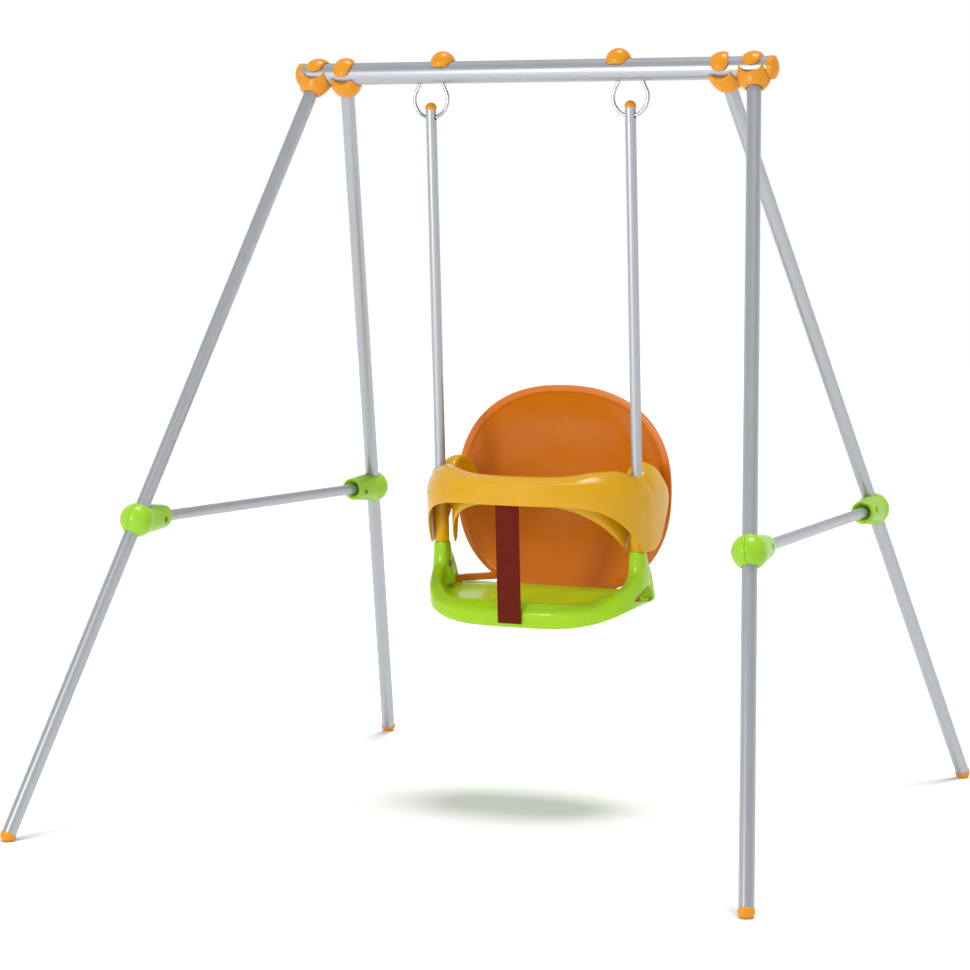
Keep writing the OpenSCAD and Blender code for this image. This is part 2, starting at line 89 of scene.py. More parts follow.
def make_camera():
    data = bpy.data.cameras.new("camera")
    data.lens = CAMERA_LENS
    data.sensor_width = SENSOR
    data.sensor_height = SENSOR
    data.clip_end = FAR_CLIP
    obj = bpy.data.objects.new("camera", data)
    obj.matrix_world = (
        Matrix.Translation(CAMERA_AT)
        @ Matrix.Rotation(CAMERA_TURN, 4, "Z")
        @ Matrix.Rotation(math.pi / 2 + CAMERA_PITCH, 4, "X")
        @ Matrix.Rotation(CAMERA_ROLL, 4, "Z")
    )
    bpy.context.collection.objects.link(obj)
    bpy.context.scene.camera = obj


def add_light(name, kind, energy, way):
    """A light that shines along a direction."""
    data = bpy.data.lights.new(name, kind)
    data.energy = energy
    obj = bpy.data.objects.new(name, data)
    obj.rotation_euler = Vector(way).to_track_quat("-Z", "Y").to_euler()
    bpy.context.collection.objects.link(obj)
    return obj


def make_light():
    """A big soft light overhead, a soft fill from the front, and an even pale surrounding."""
    add_light("overhead", "SUN", SUN_ENERGY, SUN_WAY).data.angle = SUN_ANGLE
    front = add_light("front", "AREA", FRONT_POWER, Vector(FRONT_AIM) - Vector(FRONT_AT))
    front.location = FRONT_AT
    front.data.shape = "RECTANGLE"
    front.data.size, front.data.size_y = FRONT_SIZE
    world = bpy.data.worlds.new("world")
    world.use_nodes = True
    tree = world.node_tree
    background = tree.nodes["Background"]
    background.inputs["Color"].default_value = (1.0, 1.0, 1.0, 1.0)
    where = tree.nodes.new("ShaderNodeTexCoord")
    split = tree.nodes.new("ShaderNodeSeparateXYZ")
    tree.links.new(where.outputs["Generated"], split.inputs[0])
    ramp = tree.nodes.new("ShaderNodeMapRange")
    ramp.inputs["From Min"].default_value = HORIZON_TO
    ramp.inputs["From Max"].default_value = OVERHEAD_FROM
    ramp.inputs["To Min"].default_value = HORIZON
    ramp.inputs["To Max"].default_value = OVERHEAD
    tree.links.new(split.outputs["Z"], ramp.inputs["Value"])
    tree.links.new(ramp.outputs["Result"], background.inputs["Strength"])
    bpy.context.scene.world = world
    bpy.context.scene.view_settings.view_transform = "Standard"


# ---- materials ----

COAT_ROUGH = 0.08
YARN_HIGH, YARN_WIDE = 0.0016, 0.0011


def new_material(name, colour, rough, metallic=0.0, coat=0.0, spec=0.5):
    """A principled material with its nodes, ready for more."""
    mat = bpy.data.materials.new(name)
    mat.use_nodes = True
    tree = mat.node_tree
    shader = tree.nodes["Principled BSDF"]
    shader.inputs["Base Color"].default_value = (*colour, 1.0)
    shader.inputs["Roughness"].default_value = rough
    shader.inputs["Metallic"].default_value = metallic
    shader.inputs["Coat Weight"].default_value = coat
    shader.inputs["Coat Roughness"].default_value = COAT_ROUGH
    shader.inputs["Specular IOR Level"].default_value = spec
    return mat, tree, shader


def noise(tree, scale, detail=2.0):
    where = tree.nodes.new("ShaderNodeTexCoord")
    tex = tree.nodes.new("ShaderNodeTexNoise")
    tex.inputs["Scale"].default_value = scale
    tex.inputs["Detail"].default_value = detail
    tree.links.new(where.outputs["Object"], tex.inputs["Vector"])
    return tex.outputs["Fac"]


def map_range(tree, value, low, high):
    node = tree.nodes.new("ShaderNodeMapRange")
    node.inputs["To Min"].default_value = low
    node.inputs["To Max"].default_value = high
    tree.links.new(value, node.inputs["Value"])
    return node.outputs["Result"]


def tint(tree, shader, value, dark, light):
    """Base colour that runs from dark to light with a value around a half."""
    mix = tree.nodes.new("ShaderNodeMix")
    mix.data_type = "RGBA"
    mix.inputs["A"].default_value = (*dark, 1.0)
    mix.inputs["B"].default_value = (*light, 1.0)
    tree.links.new(value, mix.inputs["Factor"])
    tree.links.new(mix.outputs["Result"], shader.inputs["Base Color"])


def bump(tree, shader, value, strength, distance):
    node = tree.nodes.new("ShaderNodeBump")
    node.inputs["Strength"].default_value = strength
    node.inputs["Distance"].default_value = distance
    tree.links.new(value, node.inputs["Height"])
    tree.links.new(node.outputs["Normal"], shader.inputs["Normal"])


def shade(colour, factor):
    return tuple(min(1.0, c * factor) for c in colour)


def plastic(name, colour, rough=0.28):
    """Moulded plastic: slight blotches of tone and gloss, and a fine skin."""
    mat, tree, shader = new_material(name, colour, rough, coat=0.15, spec=0.22)
    tint(tree, shader, noise(tree, 9.0, 3.0), shade(colour, 0.93), shade(colour, 1.06))
    tree.links.new(map_range(tree, noise(tree, 40.0, 4.0), rough - 0.06, rough + 0.08),
                   shader.inputs["Roughness"])
    bump(tree, shader, noise(tree, 900.0), 0.25, 0.00004)
    return mat


def tube_paint():
    """Silver-grey metallic paint with fine flakes and an even gloss."""
    mat, tree, shader = new_material("silver_paint", (0.42, 0.44, 0.47), 0.34, metallic=0.7)
    tint(tree, shader, noise(tree, 2600.0, 1.0), (0.39, 0.41, 0.44), (0.47, 0.49, 0.52))
    tree.links.new(map_range(tree, noise(tree, 30.0, 4.0), 0.30, 0.40), shader.inputs["Roughness"])
    bump(tree, shader, noise(tree, 700.0, 2.0), 0.12, 0.00003)
    return mat


def plated(name, colour, rough):
    mat, tree, shader = new_material(name, colour, rough, metallic=1.0)
    tree.links.new(map_range(tree, noise(tree, 220.0, 3.0), rough * 0.7, rough * 1.5),
                   shader.inputs["Roughness"])
    tint(tree, shader, noise(tree, 15.0), shade(colour, 0.92), shade(colour, 1.04))
    return mat


def webbing():
    """Dark red webbing: cross ribs and fine lengthwise yarns."""
    mat, tree, shader = new_material("webbing", (0.13, 0.010, 0.003), 0.85, spec=0.15)
    tint(tree, shader, noise(tree, 60.0, 3.0), (0.105, 0.008, 0.002), (0.155, 0.014, 0.005))
    where = tree.nodes.new("ShaderNodeTexCoord")
    weave = tree.nodes.new("ShaderNodeMath")
    weave.operation = "ADD"
    for slot, (axis, period) in enumerate((("Z", YARN_HIGH), ("X", YARN_WIDE))):
        wave = tree.nodes.new("ShaderNodeTexWave")
        wave.bands_direction = axis
        # A wave texture repeats every pi / 10 over its scale
        wave.inputs["Scale"].default_value = math.pi / 10 / period
        wave.inputs["Distortion"].default_value = 0.4
        tree.links.new(where.outputs["Object"], wave.inputs["Vector"])
        tree.links.new(wave.outputs["Fac"], weave.inputs[slot])
    bump(tree, shader, weave.outputs[0], 0.7, 0.0003)
    return mat


MATERIALS = {
    "tube_paint": tube_paint(),
    "orange_plastic": plastic("orange_plastic", (0.70, 0.27, 0.010)),
    "joint_green": plastic("joint_green", (0.29, 0.56, 0.022)),
    "seat_green": plastic("seat_green", (0.32, 0.57, 0.006), rough=0.22),
    "guard_amber": plastic("guard_amber", (0.64, 0.335, 0.005), rough=0.20),
    "back_orange": plastic("back_orange", (0.64, 0.165, 0.005), rough=0.24),
    "chrome_wire": plated("chrome_wire", (0.46, 0.46, 0.48), 0.08),
    "zinc_steel": plated("zinc_steel", (0.45, 0.45, 0.44), 0.30),
    "webbing": webbing(),
}


def paint_nodes():
    for row in frame["record"]["subparts"]:
        mesh = NODES[row["node"]].data
        mesh.materials.clear()
        mesh.materials.append(MATERIALS[row["material_slot"]])


def make_floor():
    mesh = bpy.data.meshes.new("floor")
    corners = [(-1, -1), (1, -1), (1, 1), (-1, 1)]
    mesh.from_pydata([(FLOOR_HALF * x, FLOOR_HALF * y, 0) for x, y in corners], [], [(0, 1, 2, 3)])
    floor = bpy.data.objects.new("floor", mesh)
    bpy.context.collection.objects.link(floor)
    mesh.materials.append(new_material("floor", (FLOOR_WHITE,) * 3, 0.8, spec=0.05)[0])


# ---- shapes ----

def lerp(a, b, t):
    return a + (b - a) * t


def ease(t):
    """Smooth step of a value clipped to 0..1."""
    t = np.clip(t, 0.0, 1.0)
    return t * t * (3 - 2 * t)


def through(knots, x):
    """A smooth curve through a few knots, without overshoot between them."""
    kx, ky = np.array(knots, float).T
    step = np.diff(ky) / np.diff(kx)
    slope = np.zeros_like(kx)
    turn = step[1:] * step[:-1] > 0
    slope[1:-1][turn] = 2 * (step[1:] * step[:-1])[turn] / (step[1:] + step[:-1])[turn]
    slope[0], slope[-1] = step[0], step[-1]
    x = np.clip(x, kx[0], kx[-1])
    i = np.clip(np.searchsorted(kx, x, side="right") - 1, 0, len(kx) - 2)
    h = kx[i + 1] - kx[i]
    t = (x - kx[i]) / h
    return ((1 + 2 * t) * (1 - t) ** 2 * ky[i] + t * (1 - t) ** 2 * h * slope[i]
            + t * t * (3 - 2 * t) * ky[i + 1] + t * t * (t - 1) * h * slope[i + 1])


def smooth_max(a, b, radius):
    """The larger of two distances, rounded where they cross."""
    blend = np.maximum(radius - np.abs(a - b), 0.0) / radius
    return np.maximum(a, b) + blend * blend * radius / 4


def smooth_min(a, b, radius):
    return -smooth_max(-a, -b, radius)


def polygon_distance(points, u, v):
    """Signed distance to a closed outline, negative inside."""
    points = np.array(points, float)
    best = np.full(np.broadcast(u, v).shape, np.inf)
    inside = np.zeros(best.shape, bool)
    for (ax, ay), (bx, by) in zip(points, np.roll(points, -1, 0)):
        ex, ey = bx - ax, by - ay
        t = np.clip(((u - ax) * ex + (v - ay) * ey) / (ex * ex + ey * ey), 0, 1)
        best = np.minimum(best, (u - ax - t * ex) ** 2 + (v - ay - t * ey) ** 2)
        if ay != by:
            inside ^= ((ay > v) != (by > v)) & (u < ax + (v - ay) * ex / ey)
    return np.where(inside, -1, 1) * np.sqrt(best)


def grid_between(low, high, cell):
    return np.meshgrid(*(np.arange(a, b, cell) for a, b in zip(low, high)), indexing="ij")


def surface_net(field, low, cell):
    """Corners and faces of the surface where a field over a grid passes through zero."""
    inside = field < 0
    shape = np.array(field.shape) - 1
    corners = [np.array((i, j, k)) for i in (0, 1) for j in (0, 1) for k in (0, 1)]
    count = sum(inside[tuple(slice(c, c + n) for c, n in zip(corner, shape))].astype(np.int8)
                for corner in corners)
    cells = np.argwhere((count > 0) & (count < 8))
    number = np.full(shape, -1, np.int64)
    number[tuple(cells.T)] = np.arange(len(cells))
    total = np.zeros((len(cells), 3))
    hits = np.zeros(len(cells))
    for a in corners:
        for b in corners:
            if (b - a).sum() != 1 or (b < a).any():
                continue
            fa, fb = field[tuple((cells + a).T)], field[tuple((cells + b).T)]
            cut = (fa < 0) != (fb < 0)
            t = (fa[cut] / (fa[cut] - fb[cut]))[:, None]
            total[cut] += a + t * (b - a)
            hits[cut] += 1
    verts = np.array(low) + cell * (cells + total / hits[:, None])
    quads = []
    for axis in range(3):
        one, two = np.eye(3, dtype=int)[[(axis + 1) % 3, (axis + 2) % 3]]
        here = [slice(1, -1)] * 3
        here[axis] = slice(0, -1)
        after = list(here)
        after[axis] = slice(1, None)
        first, second = inside[tuple(here)], inside[tuple(after)]
        at = np.argwhere(first != second)
        out = first[tuple(at.T)]
        at = at + [0 if i == axis else 1 for i in range(3)]
        ring = np.stack([number[tuple((at - d).T)] for d in (0 * one, one, one + two, two)], 1)
        ring[~out] = ring[~out][:, ::-1]
        quads.append(ring)
    return verts, np.concatenate(quads)


def mesh_object(name, verts, faces, place=None):
    mesh = bpy.data.meshes.new(name)
    mesh.from_pydata([tuple(v) for v in verts], [], [tuple(int(i) for i in f) for f in faces])
    mesh.transform(HANG if place is None else place)
    mesh.shade_smooth()
    obj = bpy.data.objects.new(name, mesh)
    bpy.context.collection.objects.link(obj)
    return obj


def finish_piece(obj, body, slot, *nodes):
    """Paints a piece, puts it on its body and lets it stand for CAD nodes."""
    obj.data.materials.clear()
    obj.data.materials.append(MATERIALS[slot])
    if nodes:
        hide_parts(*nodes)
    if body:
        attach(obj, body)
    return obj


def apply_modifiers(obj):
    bpy.context.view_layer.update()
    graph = bpy.context.evaluated_depsgraph_get()
    mesh = bpy.data.meshes.new_from_object(obj.evaluated_get(graph))
    old = obj.data
    obj.modifiers.clear()
    obj.data = mesh
    bpy.data.meshes.remove(old)


def smooth_mesh(obj, rounds):
    modifier = obj.modifiers.new("smooth", "SMOOTH")
    modifier.factor = 0.5
    modifier.iterations = rounds
    apply_modifiers(obj)
    obj.data.shade_smooth()


def loft(rows):
    """Corners and faces of a body through closed rings of points, with a face over each end."""
    rows = np.asarray(rows, float)
    n, m = rows.shape[:2]
    faces = []
    for i in range(n - 1):
        for j in range(m):
            k = (j + 1) % m
            faces.append((i * m + j, i * m + k, (i + 1) * m + k, (i + 1) * m + j))
    faces.append(tuple(range(m))[::-1])
    faces.append(tuple((n - 1) * m + j for j in range(m)))
    return rows.reshape(-1, 3), faces


def merge(*parts):
    """Several (verts, faces) as one."""
    verts, faces, base = [], [], 0
    for v, f in parts:
        verts.append(np.asarray(v, float))
        faces += [tuple(i + base for i in face) for face in f]
        base += len(v)
    return np.concatenate(verts), faces


def turned(profile, at):
    """A lathed body about a vertical line at (x, y), from a profile of (radius, z)."""
    angles = np.linspace(0, 2 * math.pi, 48, endpoint=False)
    return loft([[(at[0] + r * math.cos(t), at[1] + r * math.sin(t), z) for t in angles]
                 for r, z in profile])


# ---- guard ----

# All of these are in the hanging parts' frame, in millimetres.
# Half of the width, reach to the front, line where front and arms meet, and the arms' reach
GUARD_A, GUARD_FRONT, GUARD_MID, GUARD_REAR = 191.0, 122.0, 45.0, 160.0
GUARD_WIDE = 40.0
# The lobe at each arm's end: middle, half length, level and height, and where it begins
ARM_MIDDLE, ARM_LONG, ARM_LEVEL, ARM_HIGH, ARM_FROM = 40.0, 55.0, -601.0, 58.0, 42.0
# How far the crease outside lies below the lobe's top
CREASE_DROP = 7.0
# Lower edges in the middle of the front, outside and inside
SKIRT_OUT, SKIRT_IN = -597.0, -600.0
POST_TOP = -680.0
POST_R = 11.5
ROD_X = 171.0
WALL = 3.0
# Power of the plan's rounded corners, and points along the front and along an arm
GUARD_SQUARE = 2.5
FRONT_STEPS, ARM_STEPS = 84, 34
# Soft fold on the outside of each arm: where it starts, which way it runs, its depth and width
FOLD_AT, FOLD_WAY = (11.0, -574.0), (20.0, -24.0)
FOLD_DEEP, FOLD_WIDE = 1.8, 6.0
# The plates that hold the strap's pin: x, y, z of the middle, and size
PLATE_AT, PLATE_SIZE = (27, -102, -576), (6, 30, 30)
# How far the arm's outer wall leans in towards the crease, and the round of the inner top edge
SHOULDER = 13.0
CORNER = 5.0
# The columns that stand on the seat's posts, as (radius, z)
COLUMN = [(POST_R - 3, POST_TOP + 0.1), (POST_R - 0.8, POST_TOP + 0.1), (POST_R, POST_TOP + 0.9),
          (POST_R + 0.2, -640), (POST_R + 1.5, -565), (POST_R - 3, -560)]
# Heights by y: top and crease in front of the arms' lobes, and the lower edges behind the columns
CROWN = [(-122, -555), (-92, -553.5), (-60, -548.5), (-30, -549), (0, -556), (20, -547.5),
         (40, -543), (60, -543)]
CREASE = [(-122, -561), (-60, -560), (-30, -559), (0, -562), (20, -554), (40, -550), (60, -550)]
OUTER_HEEL = [(24, -680), (44, -671), (60, -654), (76, -633), (88, -619), (95, -606)]
INNER_HEEL = [(4, -680), (10, -675), (14, -661), (18, -648), (24, -639), (34, -631), (50, -623),
              (95, -606)]


def arm_arc(y, high):
    return ARM_LEVEL + high * np.sqrt(np.clip(1 - ((y - ARM_MIDDLE) / ARM_LONG) ** 2, 0, 1))


def guard_crown(y):
    """Height of the guard's top along its side: a dip at the rods, then the arm's lobe."""
    return np.where(y > ARM_FROM, arm_arc(y, ARM_HIGH), through(CROWN, y))


def guard_crease(y):
    """Height of the edge between the guard's outer wall and its top."""
    return np.where(y > ARM_FROM, arm_arc(y, ARM_HIGH - CREASE_DROP), through(CREASE, y))


def outer_under(y):
    """Lower edge of the outer wall: a skirt that falls to the column, then the arm's heel."""
    fall = np.clip((y + GUARD_FRONT) / (GUARD_FRONT - POST_R), 0, 1)
    skirt = lerp(SKIRT_OUT, POST_TOP, fall ** 1.9)
    return np.where(y > OUTER_HEEL[0][0], through(OUTER_HEEL, y), skirt)


def inner_under(y):
    """The same for the inner wall."""
    fall = np.clip((y + GUARD_FRONT - GUARD_WIDE) / (GUARD_FRONT - GUARD_WIDE + 2), 0, 1)
    skirt = lerp(SKIRT_IN, POST_TOP, fall ** 1.15)
    return np.where(y > INNER_HEEL[0][0], through(INNER_HEEL, y), skirt)


def guard_stations():
    """Pairs of points, outside and inside, from the middle of the front to the end of the right arm."""
    power = 2 / GUARD_SQUARE
    t = np.linspace(-math.pi / 2, 0, 2400)
    c, s = np.cos(t) ** power, np.abs(np.sin(t)) ** power
    outer = np.stack([GUARD_A * c, GUARD_MID - (GUARD_FRONT + GUARD_MID) * s], 1)
    inner = np.stack([(GUARD_A - GUARD_WIDE) * c,
                      GUARD_MID - (GUARD_FRONT + GUARD_MID - GUARD_WIDE) * s], 1)
    run = np.concatenate([[0], np.cumsum(np.linalg.norm(np.diff(outer, axis=0), axis=1))])
    picks = np.interp(np.linspace(0, run[-1], FRONT_STEPS), run, np.arange(len(t)))
    outer, inner = (np.stack([np.interp(picks, np.arange(len(t)), p[:, i]) for i in (0, 1)], 1)
                    for p in (outer, inner))
    v = (ARM_MIDDLE + ARM_LONG - GUARD_MID) * np.sin(np.linspace(0, math.pi / 2, ARM_STEPS))[1:]
    rear = [np.stack([a * (1 - (v / d) ** GUARD_SQUARE) ** (1 / GUARD_SQUARE), GUARD_MID + v], 1)
            for a, d in ((GUARD_A, GUARD_REAR), (GUARD_A - GUARD_WIDE, GUARD_REAR - GUARD_WIDE))]
    return np.concatenate([outer, rear[0]]), np.concatenate([inner, rear[1]])


def guard_section(out, inn):
    """Closed ring of points across the channel at one station: outer skin, then back under it."""
    wide = np.linalg.norm(inn - out)
    crease = float(guard_crease(out[1]))
    crown = float(guard_crown(lerp(out[1], inn[1], 0.6)))
    low_out = min(float(outer_under(out[1])), crease - 10)
    low_in = min(float(inner_under(inn[1])), crease - 10)
    arm = float(ease((abs(out[0]) - 40) / 140))
    shoulder = SHOULDER * arm
    start = max(SKIRT_OUT, low_out + 4) if crease - 40 > low_out else low_out + 4
    start = min(start, crease - 5)
    line = [(2.6, low_out + 0.3), (1.4, low_out), (0.4, low_out + 0.7), (0, low_out + 2.2)]
    line += [(0, z) for z in np.linspace(low_out + 3.4, start, 12)]
    for u in np.concatenate([np.linspace(0, 0.9, 12)[1:], np.linspace(0.92, 1, 6)]):
        z = lerp(start, crease, u)
        near = np.clip((z - crease + 3) / 3, 0, 1)
        line.append((shoulder * u ** 2.4 + (3 - 1.5 * arm) * (1 - math.sqrt(1 - near * near)), z))
    begin = line[-1][0]
    fall = min(CORNER, crown - low_in - 4)
    for s in np.linspace(0, 1, 14)[1:]:
        line.append((lerp(begin, wide - CORNER, s),
                     crease + (crown - crease) * (1 - (1 - s) ** 2.2) - 1.0 * s))
    top = line[-1][1]
    line += [(wide - CORNER + CORNER * math.sin(a), top - fall * (1 - math.cos(a)))
             for a in np.linspace(0, math.pi / 2, 7)[1:]]
    line += [(wide, z) for z in np.linspace(top - fall - 1, low_in + 2.2, 10)]
    line += [(wide - 0.4, low_in + 0.7), (wide - 1.4, low_in), (wide - 2.6, low_in + 0.3)]
    line = np.array(line)
    way = np.gradient(line, axis=0)
    way /= np.linalg.norm(way, axis=1)[:, None]
    inward = np.stack([way[:, 1], -way[:, 0]], 1)
    skin = (line + WALL * inward)[4:-4]
    skin[:, 0] = np.clip(skin[:, 0], WALL, wide - WALL)
    ring = np.concatenate([line, skin[::-1]])
    plan = out + (inn - out) * (ring[:, :1] / wide)
    return np.concatenate([plan, ring[:, 1:]], 1)


def make_guard():
    outs, inns = guard_stations()
    half = np.array([guard_section(o, i) for o, i in zip(outs, inns)])
    left = half[1:][::-1] * (-1, 1, 1)
    rows = np.concatenate([left, half])
    x, y, z = rows[..., 0], rows[..., 1] - FOLD_AT[0], rows[..., 2] - FOLD_AT[1]
    way = np.array(FOLD_WAY)
    along = (y * way[0] + z * way[1]) / (way @ way)
    across = (z * way[0] - y * way[1]) / np.linalg.norm(way)
    depth = FOLD_DEEP * np.exp(-(across / FOLD_WIDE) ** 2)
    depth = depth * ease((1.1 - along) / 0.9) * ease((along + 0.5) / 0.5)
    rows[..., 0] = x - np.sign(x) * depth * ease((np.abs(x) - 168) / 10)
    parts = [loft(rows)]
    for side in (-1, 1):
        parts.append(turned(COLUMN, (side * ROD_X, 0)))
        parts.append(plate(side * PLATE_AT[0], *PLATE_AT[1:], *PLATE_SIZE))
    guard = mesh_object("guard_moulding", *merge(*parts))
    finish_piece(guard, "guard", "guard_amber", "guard")


def plate(x, y, z, dx, dy, dz, cut=1.2):
    """A block with its corners cut, about a middle."""
    rows = []
    for level, inset in ((-0.5, 1.0), (-0.5 + cut / dz, 0.0), (0.5 - cut / dz, 0.0), (0.5, 1.0)):
        hx, hy = dx / 2 - inset, dy / 2 - inset
        ring = [(hx, -hy + cut), (hx, hy - cut), (hx - cut, hy), (cut - hx, hy),
                (-hx, hy - cut), (-hx, cut - hy), (cut - hx, -hy), (hx - cut, -hy)]
        rows.append([(x + px, y + py, z + level * dz) for px, py in ring])
    return loft(rows)


# ---- seat ----

SEAT_A, SEAT_MID, SEAT_FRONT, SEAT_BACK = 182.0, 30.0, 114.0, 112.0
# Powers of the plan's rounded corners, in front and behind
SQUARE_FRONT, SQUARE_BACK = 3.0, 2.3
PAN_Z, PAN_THICK = -755.0, 7.0
# The trough behind the pan, which holds the backrest's rim: its front, its floor and its rear wall
TROUGH_Y, TROUGH_Z, REAR_Z = 77.0, -776.0, -762.0
TROUGH_WALL = 11.0
# Width of the ledge round the pan, and the seat's lowest level in the middle and how it rises
LEDGE = 20.0
KEEL_Z, KEEL_RISE = -792.0, 30.0
# Far outside the seat: limits for the outlines below
OVER, UNDER, BEYOND = -600.0, -830.0, 170.0
CELL = 1.8
# Where the arched windows in the gussets end, from the middle
WINDOW_END = 162.0
# The screws that hold the rods: level, radius of their seats, and how deep those go
SCREW_Z, SCREW_R, SCREW_SEAT = -716.0, 6.5, 12.2
# Outlines from the side, as (y, z): the gusset behind the post, and the window through it
GUSSET = [(POST_R, POST_TOP), (15, -690), (26, -707), (33, -719), (39, -733), (44, -747), (47, PAN_Z)]
WINDOW = [(-32, -754), (-18, -745.5), (-8, -740.5), (4, -737), (14, -736), (22, -740), (28, -746),
          (34, -753.5), (36, -758.5), (33, -762), (27.5, -763), (0, -758.5)]


# The seat's edge lies this far below the post's top, falls this much towards the front, and
# then slopes by this much
LIP_START, LIP_FALL, LIP_SLOPE = 5.0, 62.0, 9.0
LIP_POWER = 2.7


def lip_level(y):
    """Level of the seat's edge from the post to the front: a quick fall, then nearly flat."""
    u = np.clip((-POST_R - y) / (SEAT_FRONT - POST_R), 0, 1)
    fall = (1 - (1 - u) ** LIP_POWER) ** (1 / LIP_POWER)
    return POST_TOP - LIP_START - LIP_FALL * fall - LIP_SLOPE * u * u


# How far the lip lies below that level along its outer and its inner edge, by y
LIP_OUTSIDE = [(-114, 8), (-96, 8), (-84, 7.5), (-73, 3.5), (-55, -4), (-27, -5), (-12, 0), (0, 0)]
LIP_INSIDE = [(-114, 0), (-96, 0), (-76, 2), (-66, -2), (-50, -5), (-26, -2), (-12, 0), (0, 0)]


def seat_outline():
    t = np.linspace(0, 2 * math.pi, 160, endpoint=False)
    c, s = np.cos(t), np.sin(t)
    power = np.where(s < 0, 2 / SQUARE_FRONT, 2 / SQUARE_BACK)
    deep = np.where(s < 0, SEAT_FRONT + SEAT_MID, SEAT_BACK - SEAT_MID)
    return np.stack([SEAT_A * np.sign(c) * np.abs(c) ** power,
                     SEAT_MID + deep * np.sign(s) * np.abs(s) ** power], 1)


def seat_field(x, y, z):
    """Distance-like field of the blow-moulded seat over a grid, negative in the material."""
    def from_side(outline):
        return polygon_distance(outline, y[0], z[0])[None]

    plan = polygon_distance(seat_outline(), x[:, :, 0], y[:, :, 0])[:, :, None]
    ahead = -POST_R - (SEAT_FRONT - POST_R) * np.linspace(1, 0, 40) ** 2.2
    side = [(-150, UNDER), (-150, lip_level(-SEAT_FRONT))] + [(v, float(lip_level(v))) for v in ahead]
    side += [(-POST_R, POST_TOP)] + GUSSET + [(80, PAN_Z), (92, REAR_Z), (150, REAR_Z), (150, UNDER)]
    inset = np.clip(-plan, 0, 22) / 22
    tilt = lerp(through(LIP_OUTSIDE, y), through(LIP_INSIDE, y), inset)
    keel = KEEL_Z + KEEL_RISE * (np.abs(x) / (SEAT_A + 1)) ** 4
    body = smooth_max(smooth_max(plan, from_side(side) + tilt, 7), (keel - z) * 0.9, 6)
    ledge = lerp(LEDGE, WALL, ease((y - 55) / 25))
    hollow = from_side([(-BEYOND, PAN_Z), (TROUGH_Y, PAN_Z), (TROUGH_Y, TROUGH_Z), (BEYOND, TROUGH_Z),
                        (BEYOND, OVER), (-BEYOND, OVER)])
    body = smooth_max(body, -smooth_max(plan + ledge, hollow, 8), 5)
    pan_under, trough_under = PAN_Z - PAN_THICK, TROUGH_Z - 8
    under = from_side([(-BEYOND, UNDER), (-BEYOND, pan_under), (TROUGH_Y - TROUGH_WALL, pan_under),
                       (TROUGH_Y - TROUGH_WALL, trough_under), (BEYOND, trough_under), (BEYOND, UNDER)])
    body = smooth_max(body, -smooth_max(plan + PAN_THICK, under, 6), 3)
    away = np.hypot(np.abs(x) - ROD_X, y)
    post = (away - POST_R - 0.13 * np.clip(POST_TOP - z, 0, 80)) * 0.99
    post = smooth_max(smooth_max(post, z - POST_TOP, 2.5), np.abs(x) - ROD_X - POST_R, 3)
    body = smooth_min(body, np.maximum(post, -748 - z), 6)
    body = smooth_max(body, -np.maximum(from_side(WINDOW), WINDOW_END - np.abs(x)), 2)
    screw = np.maximum(np.hypot(y, z - SCREW_Z) - SCREW_R, np.abs(x) - ROD_X + SCREW_SEAT)
    return smooth_max(body, -screw, 1.5)


def make_seat():
    low = np.array((-SEAT_A - 3, -SEAT_FRONT - 4, -796.0))
    high = np.array((SEAT_A + 3, SEAT_BACK + 4, POST_TOP + 4))
    field = seat_field(*grid_between(low, high, CELL))
    seat = mesh_object("seat_moulding", *surface_net(field, low, CELL))
    smooth_mesh(seat, 4)
    finish_piece(seat, "swing", "seat_green", "seat")


# ---- backrest ----

# Half width and half height, place of the middle, lean, depth of the bowl and thickness
BACK_A, BACK_H, BACK_Y, BACK_Z = 189.0, 170.0, 98.0, -605.0
BACK_LEAN = math.radians(6)
BACK_DEEP = 50.0
BACK_THICK = 4.0
BACK_SQUARE = 2.3
# Where the bowl ends and where the step to the flat flange lies, as shares of the half width
BOWL_END, STEP_AT = 0.93, 0.945
STEP_HIGH = 3.0
RIM_START = 0.985
# The lugs that hold the backrest in the seat: outline from above, and their levels
LUG = [(96, 97), (96, 86), (148, 48), (160, 36), (160, -22), (167, -22), (167, 40), (156, 54)]
LUG_Z = (-751.8, -741.2)
# The lugs' ends in the gussets' windows, from the side: an arched plate with two barbs
BARBS = [(-29, -755.2), (-8, -742.5), (4, -739), (10, -738.5), (13, -742), (9.5, -745), (14, -749.5),
         (10.5, -753.5), (15, -758.5), (13.5, -760.5), (0, -758)]
BARBS_X = (WINDOW_END - 1, WINDOW_END + 6)


def back_surface(p, t):
    """Front of the dish at a share p of its half width: a hollow bowl, a step and a flat flange."""
    c, s = math.cos(t), math.sin(t)
    x = BACK_A * p * math.copysign(abs(c) ** (2 / BACK_SQUARE), c)
    z = BACK_H * p * math.copysign(abs(s) ** (2 / BACK_SQUARE), s)
    bowl = BACK_DEEP * max(0.0, 1 - (p / BOWL_END) ** 2.6)
    step = STEP_HIGH * float(ease((STEP_AT - p) / 0.02))
    return x, BACK_Y + z * math.tan(BACK_LEAN) + bowl + step, BACK_Z + z


def mirrored(outline, side):
    """An outline turned over for the left side, so that its faces still look outwards."""
    return outline if side > 0 else outline[::-1]


